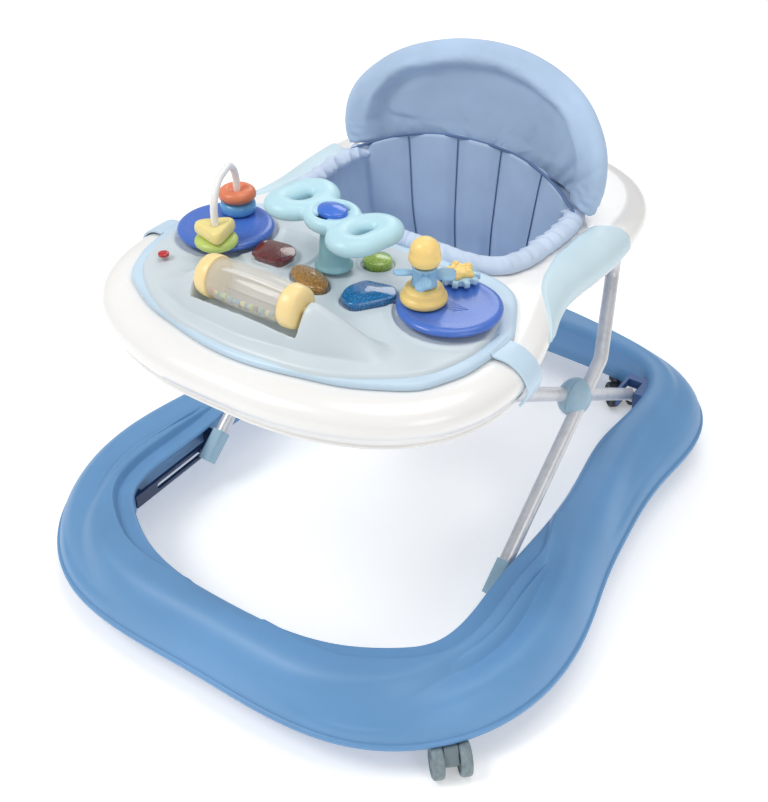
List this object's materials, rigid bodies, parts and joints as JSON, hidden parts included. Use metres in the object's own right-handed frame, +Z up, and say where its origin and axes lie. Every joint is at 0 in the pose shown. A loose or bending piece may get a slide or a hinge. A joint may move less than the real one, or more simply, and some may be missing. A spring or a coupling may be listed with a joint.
{
  "type": "baby walker",
  "caption": "Folding baby walker: a moulded base on swivel casters, a scissor tube frame, a white tray with a padded fabric seat and a play tray of turning and pressing toys.",
  "frame": {"origin": "on the floor, at the middle of the base's length and width", "axes": "+Z up, -Y towards the toy tray's front, +X across the walker; the plan of base, tray and frame is mirrored about X = 0"},
  "size_m": [0.5768, 0.7288, 0.478],
  "materials": {
    "base_plastic": "satin moulded polypropylene",
    "rail_plastic": "satin nylon",
    "bracket_plastic": "satin nylon",
    "pad_rubber": "matte",
    "steel": "plain zinc-plated",
    "tube_paint": "silver-white powder coat",
    "hub_plastic": "satin",
    "cap_plastic": "satin",
    "yoke_plastic": "satin",
    "yoke_black": "satin",
    "wheel_grey": "satin tread",
    "wheel_black": "matte tread",
    "tray_white": "glossy",
    "grip_pad": "soft satin",
    "white_plastic": "satin",
    "fabric_blue": "plain woven polyester",
    "hood_fabric": "plain woven polyester over foam",
    "plate_blue": "satin",
    "deck_plastic": "glossy",
    "disc_blue": "glossy",
    "arch_white": "glossy",
    "aqua_plastic": "glossy",
    "column_teal": "glossy",
    "button_blue": "glossy",
    "key_red": "translucent glossy",
    "key_blue": "translucent glossy",
    "key_amber": "translucent with glitter",
    "key_green": "translucent glossy",
    "clear_plastic": "clear",
    "yellow_plastic": "glossy",
    "bead_mixed": "glossy small beads",
    "bead_green": "glossy",
    "bead_yellow": "glossy",
    "bead_blue": "glossy",
    "bead_orange": "glossy",
    "figure_yellow": "glossy",
    "propeller_blue": "glossy",
    "box_plastic": "satin",
    "cell": "labelled can",
    "board": "solder mask",
    "speaker_black": "paper cone"
  },
  "bodies": {
    "base": {"base_ring": "base_plastic", "slide_rails": "rail_plastic", "rear_brackets": "bracket_plastic", "rear_pivot_pins": "steel", "brake_pads": "pad_rubber", "caster_sockets": "base_plastic"},
    "rear_legs": {"rear_leg_left": "tube_paint", "rear_leg_right": "tube_paint", "height_crossbar": "tube_paint", "hub_inner_halves": "hub_plastic", "hub_bolts": "steel"},
    "front_legs": {"front_leg_left": "tube_paint", "front_leg_right": "tube_paint", "hub_outer_halves": "hub_plastic", "end_caps": "cap_plastic", "slider_pins": "rail_plastic"},
    "tray": {"tray_shell": "tray_white", "side_grips": "grip_pad", "pivot_brackets": "white_plastic", "pivot_pins": "steel", "crossbar_guides": "white_plastic", "seat_bag": "fabric_blue", "seat_rim": "fabric_blue", "back_hood": "hood_fabric", "play_plate": "plate_blue", "play_deck": "deck_plastic", "toy_discs": "disc_blue", "bead_arch": "arch_white", "steering_column": "column_teal", "figure_body": "figure_yellow", "flower_post": "figure_yellow", "battery_box": "box_plastic", "battery_cover": "box_plastic", "batteries": "cell", "circuit_board": "board", "speaker": "speaker_black"},
    "steering_wheel": {"steering_wheel": "aqua_plastic"},
    "horn_button": {"horn_button": "button_blue"},
    "key_red": {"key_red": "key_red"},
    "key_blue": {"key_blue": "key_blue"},
    "key_amber": {"key_amber": "key_amber"},
    "key_green": {"key_green": "key_green"},
    "drum": {"drum_barrel": "clear_plastic", "drum_caps": "yellow_plastic", "drum_beads": "bead_mixed"},
    "bead_green": {"bead_green": "bead_green"},
    "bead_yellow": {"bead_yellow": "bead_yellow"},
    "bead_blue": {"bead_blue": "bead_blue"},
    "bead_orange": {"bead_orange": "bead_orange"},
    "propeller": {"propeller": "propeller_blue"},
    "flower_gear": {"flower_gear": "yellow_plastic"},
    "yoke_front_left": {"yoke_front_left": "yoke_plastic"},
    "wheels_front_left": {"wheels_front_left": "wheel_grey"},
    "yoke_front_right": {"yoke_front_right": "yoke_plastic"},
    "wheels_front_right": {"wheels_front_right": "wheel_grey"},
    "yoke_rear_left": {"yoke_rear_left": "yoke_black"},
    "wheels_rear_left": {"wheels_rear_left": "wheel_black"},
    "yoke_rear_right": {"yoke_rear_right": "yoke_black"},
    "wheels_rear_right": {"wheels_rear_right": "wheel_black"}
  },
  "joints": [
    {"name": "fold", "type": "hinge", "parent": "base", "child": "rear_legs", "pos_m": [0, 0.228, 0.062], "axis": [1, 0, 0], "range_deg": [0, 25]},
    {"name": "leg_cross", "type": "hinge", "parent": "rear_legs", "child": "front_legs", "pos_m": [0, 0.0427, 0.1754], "axis": [1, 0, 0], "range_deg": [-52.26, 0]},
    {"name": "tray_pivot", "type": "hinge", "parent": "front_legs", "child": "tray", "pos_m": [0, 0.15, 0.298], "axis": [1, 0, 0], "range_deg": [0, 31.76]},
    {"name": "swivel_front_right", "type": "hinge", "parent": "base", "child": "yoke_front_right", "pos_m": [0.22727, -0.27998, 0.04], "axis": [0, 0, 1], "continuous": true},
    {"name": "roll_front_right", "type": "hinge", "parent": "yoke_front_right", "child": "wheels_front_right", "pos_m": [0.245, -0.299, 0.016], "axis": [0.7314, 0.682, 0], "continuous": true},
    {"name": "swivel_front_left", "type": "hinge", "parent": "base", "child": "yoke_front_left", "pos_m": [-0.22727, -0.27998, 0.04], "axis": [0, 0, 1], "continuous": true},
    {"name": "roll_front_left", "type": "hinge", "parent": "yoke_front_left", "child": "wheels_front_left", "pos_m": [-0.20159, -0.28405, 0.016], "axis": [0.1564, 0.9877, 0], "continuous": true},
    {"name": "swivel_rear_right", "type": "hinge", "parent": "base", "child": "yoke_rear_right", "pos_m": [0.11977, 0.30301, 0.04], "axis": [0, 0, 1], "continuous": true},
    {"name": "roll_rear_right", "type": "hinge", "parent": "yoke_rear_right", "child": "wheels_rear_right", "pos_m": [0.1375, 0.284, 0.016], "axis": [0.7314, 0.682, 0], "continuous": true},
    {"name": "swivel_rear_left", "type": "hinge", "parent": "base", "child": "yoke_rear_left", "pos_m": [-0.11977, 0.30301, 0.04], "axis": [0, 0, 1], "continuous": true},
    {"name": "roll_rear_left", "type": "hinge", "parent": "yoke_rear_left", "child": "wheels_rear_left", "pos_m": [-0.09409, 0.29895, 0.016], "axis": [0.1564, 0.9877, 0], "continuous": true},
    {"name": "steer", "type": "hinge", "parent": "tray", "child": "steering_wheel", "pos_m": [0, -0.124, 0.4], "axis": [0, 0, 1], "range_deg": [-30, 60]},
    {"name": "horn_press", "type": "slide", "parent": "steering_wheel", "child": "horn_button", "axis": [0, 0, -1], "range_m": [0, 0.002], "stiffness_N_per_m": 400, "springref_m": -0.003},
    {"name": "press_red", "type": "slide", "parent": "tray", "child": "key_red", "axis": [0, 0, -1], "range_m": [0, 0.002], "stiffness_N_per_m": 400, "springref_m": -0.003},
    {"name": "press_blue", "type": "slide", "parent": "tray", "child": "key_blue", "axis": [0, 0, -1], "range_m": [0, 0.002], "stiffness_N_per_m": 400, "springref_m": -0.003},
    {"name": "press_amber", "type": "slide", "parent": "tray", "child": "key_amber", "axis": [0, 0, -1], "range_m": [0, 0.002], "stiffness_N_per_m": 400, "springref_m": -0.003},
    {"name": "press_green", "type": "slide", "parent": "tray", "child": "key_green", "axis": [0, 0, -1], "range_m": [0, 0.002], "stiffness_N_per_m": 400, "springref_m": -0.003},
    {"name": "drum_roll", "type": "hinge", "parent": "tray", "child": "drum", "pos_m": [-0.008, -0.226, 0.374], "axis": [1, 0, 0], "continuous": true},
    {"name": "bead_green_spin", "type": "hinge", "parent": "tray", "child": "bead_green", "pos_m": [-0.104, -0.163, 0.362], "axis": [0, 0, 1], "continuous": true},
    {"name": "bead_yellow_lift", "type": "slide", "parent": "tray", "child": "bead_yellow", "axis": [0, 0, 1], "range_m": [0, 0.008]},
    {"name": "bead_blue_spin", "type": "hinge", "parent": "tray", "child": "bead_blue", "pos_m": [-0.129, -0.102, 0.365], "axis": [0, 0, 1], "continuous": true},
    {"name": "bead_orange_lift", "type": "slide", "parent": "tray", "child": "bead_orange", "axis": [0, 0, 1], "range_m": [0, 0.005]},
    {"name": "propeller_spin", "type": "hinge", "parent": "tray", "child": "propeller", "pos_m": [0.104, -0.137, 0.385], "axis": [0, 0, 1], "continuous": true},
    {"name": "flower_spin", "type": "hinge", "parent": "tray", "child": "flower_gear", "pos_m": [0.112, -0.092, 0.363], "axis": [0, 0, 1], "continuous": true}
  ],
  "couplings": [
    {"joint": "leg_cross", "follows": "fold", "ratio": -2.09},
    {"joint": "tray_pivot", "follows": "fold", "ratio": 1.27}
  ]
}
